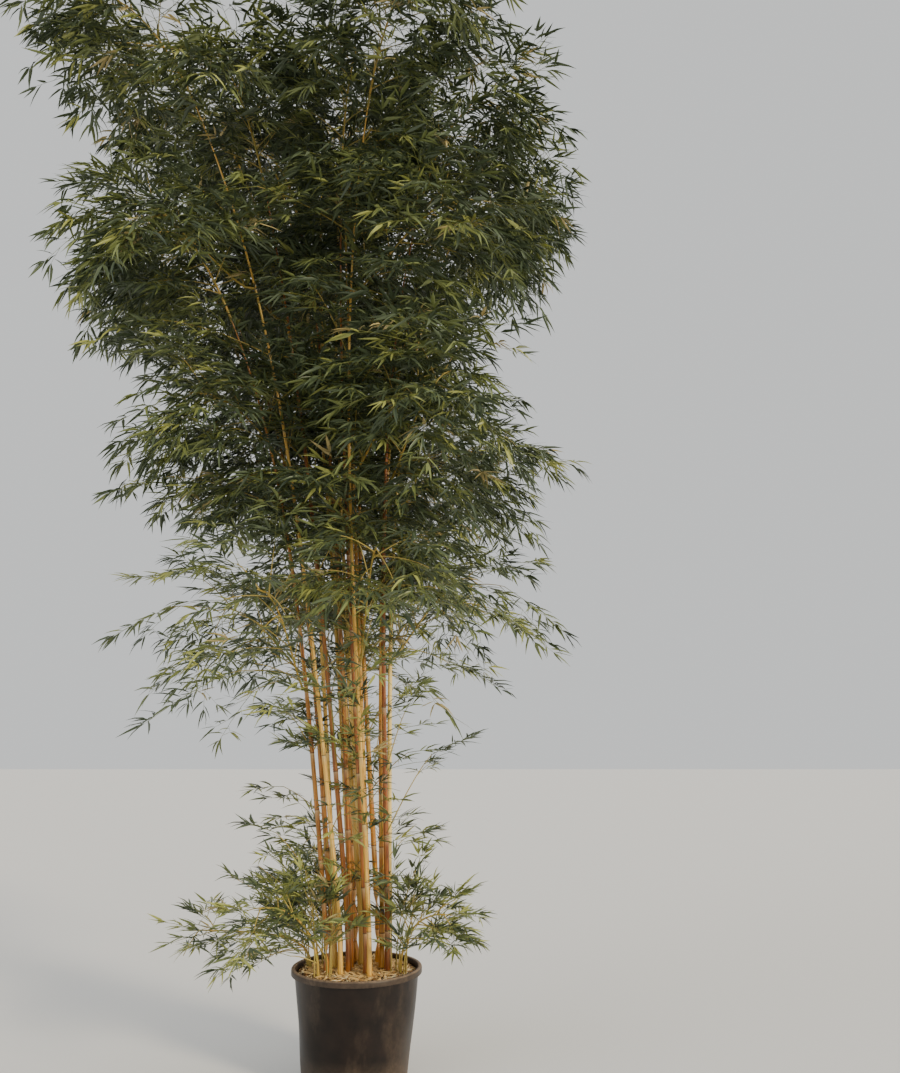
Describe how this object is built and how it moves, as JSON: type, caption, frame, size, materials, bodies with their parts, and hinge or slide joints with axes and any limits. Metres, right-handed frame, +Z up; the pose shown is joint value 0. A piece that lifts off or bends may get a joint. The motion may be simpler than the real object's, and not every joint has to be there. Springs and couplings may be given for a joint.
{
  "type": "potted bamboo",
  "caption": "Tall clump of golden bamboo canes with a full leafy crown, growing in a round black nursery pot.",
  "frame": {"origin": "centre of the pot's flat underside, on the ground", "axes": "+Z up. The picture looks along +Y, so +X is to the right in it."},
  "size_m": [2.9469, 3.0436, 5.4254],
  "materials": {
    "pot_plastic": "dusty matte",
    "potting_mix": "loose bark and litter",
    "golden_cane": "smooth waxy",
    "foliage": "satin leaves"
  },
  "bodies": {
    "root": {"pot": "pot_plastic", "soil": "potting_mix", "cane_01": "golden_cane", "cane_02": "golden_cane", "cane_03": "golden_cane", "cane_04": "golden_cane", "cane_05": "golden_cane", "cane_06": "golden_cane", "cane_07": "golden_cane", "cane_08": "golden_cane", "cane_09": "golden_cane", "cane_10": "golden_cane", "cane_11": "golden_cane", "cane_12": "golden_cane", "cane_13": "golden_cane", "cane_14": "golden_cane", "cane_15": "golden_cane", "cane_16": "golden_cane", "cane_17": "golden_cane", "cane_18": "golden_cane", "leafy_tip_01": "foliage", "leafy_tip_02": "foliage", "leafy_tip_03": "foliage", "leafy_tip_04": "foliage", "leafy_tip_05": "foliage", "leafy_tip_06": "foliage", "leafy_tip_07": "foliage", "leafy_tip_08": "foliage", "leafy_tip_09": "foliage", "leafy_tip_10": "foliage", "leafy_tip_11": "foliage", "leafy_tip_12": "foliage", "leafy_tip_13": "foliage", "leafy_tip_14": "foliage", "leafy_tip_15": "foliage", "leafy_tip_16": "foliage", "leafy_tip_17": "foliage", "leafy_tip_18": "foliage", "leafy_side_01": "foliage", "leafy_side_02": "foliage", "leafy_side_03": "foliage", "leafy_side_04": "foliage", "leafy_side_05": "foliage", "leafy_side_06": "foliage", "leafy_side_07": "foliage", "leafy_side_08": "foliage", "leafy_side_09": "foliage", "leafy_side_10": "foliage", "leafy_side_11": "foliage", "leafy_side_12": "foliage", "leafy_side_13": "foliage", "leafy_side_14": "foliage", "leafy_side_15": "foliage", "leafy_side_16": "foliage", "leafy_side_17": "foliage", "leafy_side_18": "foliage", "low_shoot_01": "foliage", "low_shoot_02": "foliage", "low_shoot_03": "foliage", "low_shoot_04": "foliage"}
  },
  "joints": []
}
